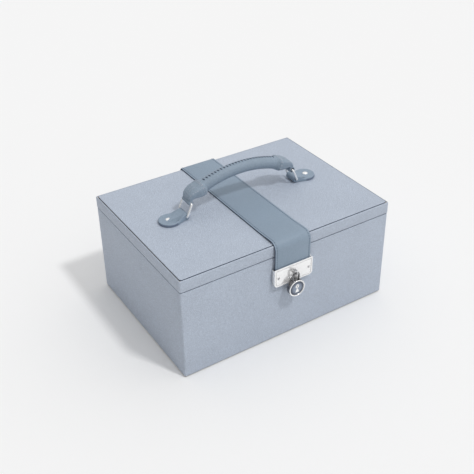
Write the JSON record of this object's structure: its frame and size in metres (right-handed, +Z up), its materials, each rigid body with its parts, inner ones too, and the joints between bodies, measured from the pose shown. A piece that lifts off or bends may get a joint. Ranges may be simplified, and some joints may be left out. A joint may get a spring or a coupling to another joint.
{
  "type": "jewellery chest",
  "caption": "Leather-covered jewellery chest: hinged lid with mirror, strap clasp with a padlock, arched carrying handle, inner tray and drawers.",
  "frame": {"origin": "centre of the flat underside, on the surface the chest stands on", "axes": "+X to the right along the front, -Y towards the front (the clasp side), +Z up"},
  "size_m": [0.28, 0.2219, 0.1795],
  "materials": {
    "felt": "short felt",
    "board": "fine grey board, raw",
    "covered_board": "board wrapped in smooth grey-blue leathercloth",
    "cover_leather": "fine pebble grain, satin",
    "strap_leather": "smooth, satin",
    "handle_leather": "smooth, satin, stitched",
    "handle_filling": "cord filling",
    "velvet": "short pile velvet",
    "mirror": "clear silvered",
    "silver": "polished",
    "shackle_metal": "polished, darker",
    "steel": "plain",
    "blue_metal": "glossy grey-blue"
  },
  "bodies": {
    "base": {"base_pad": "felt", "base_floor_board": "board", "base_front_board": "board", "base_back_board": "board", "base_left_board": "board", "base_right_board": "board", "base_cover": "cover_leather", "base_lining": "velvet", "keeper_plate": "steel", "cabinet_uprights": "covered_board", "cabinet_shelves": "covered_board", "top_tray": "covered_board", "tray_lining": "velvet", "tray_dividers": "velvet", "ring_rolls": "velvet", "hinge_lower_leaves": "silver", "hinge_pins": "silver", "hinge_lower_screws": "silver"},
    "lid": {"lid_top_board": "board", "lid_frame": "board", "lid_cover_band": "cover_leather", "lid_cover_top": "cover_leather", "lid_lining": "velvet", "lid_mirror": "mirror", "mirror_frame": "velvet", "strap_top": "strap_leather", "tab_left": "strap_leather", "tab_right": "strap_leather", "tab_rivets": "silver", "hinge_upper_leaves": "silver", "hinge_upper_screws": "silver"},
    "tongue": {"strap_tongue": "strap_leather", "clasp_plate": "silver", "clasp_back_plate": "silver", "clasp_rivets": "silver", "clasp_staple": "silver", "clasp_magnets": "steel"},
    "shackle": {"padlock_shackle": "shackle_metal"},
    "padlock": {"padlock_case": "silver", "padlock_face": "blue_metal", "padlock_keyhole": "silver"},
    "plug": {"padlock_plug": "steel"},
    "left_ring": {"ring_left": "silver"},
    "handle": {"handle_cover": "handle_leather", "handle_core": "handle_filling", "handle_end_left": "handle_leather", "handle_end_right": "handle_leather"},
    "right_ring": {"ring_right": "silver"},
    "long_drawer": {"long_drawer_box": "covered_board", "long_drawer_front": "cover_leather", "long_drawer_lining": "velvet", "long_drawer_knobs": "silver"},
    "left_drawer": {"left_drawer_box": "covered_board", "left_drawer_front": "cover_leather", "left_drawer_lining": "velvet", "left_drawer_knob": "silver"},
    "right_drawer": {"right_drawer_box": "covered_board", "right_drawer_front": "cover_leather", "right_drawer_lining": "velvet", "right_drawer_knob": "silver"}
  },
  "joints": [
    {"name": "lid_hinge", "type": "hinge", "parent": "base", "child": "lid", "pos_m": [0, 0.1046, 0.11545], "axis": [-1, 0, 0], "range_deg": [0, 100]},
    {"name": "strap_flex", "type": "hinge", "parent": "lid", "child": "tongue", "pos_m": [0, -0.1036, 0.1309], "axis": [-1, 0, 0], "range_deg": [0, 85]},
    {"name": "padlock_swing", "type": "hinge", "parent": "tongue", "child": "shackle", "pos_m": [0, -0.1117, 0.0914], "axis": [-1, 0, 0], "range_deg": [-2, 70]},
    {"name": "padlock_release", "type": "slide", "parent": "shackle", "child": "padlock", "axis": [0, 0, -1], "range_m": [0, 0.0045]},
    {"name": "plug_turn", "type": "hinge", "parent": "padlock", "child": "plug", "pos_m": [0, -0.1117, 0.0745], "axis": [0, -1, 0], "range_deg": [0, 90]},
    {"name": "left_ring_tilt", "type": "hinge", "parent": "lid", "child": "left_ring", "pos_m": [-0.0766, 0.0025, 0.1351], "axis": [0, 1, 0], "range_deg": [-21, 21]},
    {"name": "handle_pivot", "type": "hinge", "parent": "left_ring", "child": "handle", "pos_m": [-0.0698, 0.0025, 0.1508], "axis": [0, 1, 0], "range_deg": [-24, 24]},
    {"name": "right_ring_tilt", "type": "hinge", "parent": "lid", "child": "right_ring", "pos_m": [0.0766, 0.0025, 0.1351], "axis": [0, 1, 0], "range_deg": [-21, 21]},
    {"name": "long_drawer_slide", "type": "slide", "parent": "base", "child": "long_drawer", "axis": [0, -1, 0], "range_m": [0, 0.07]},
    {"name": "left_drawer_slide", "type": "slide", "parent": "base", "child": "left_drawer", "axis": [0, -1, 0], "range_m": [0, 0.07]},
    {"name": "right_drawer_slide", "type": "slide", "parent": "base", "child": "right_drawer", "axis": [0, -1, 0], "range_m": [0, 0.07]}
  ],
  "couplings": [
    {"joint": "handle_pivot", "follows": "left_ring_tilt", "ratio": -1.0974},
    {"joint": "right_ring_tilt", "follows": "left_ring_tilt", "ratio": 1}
  ]
}
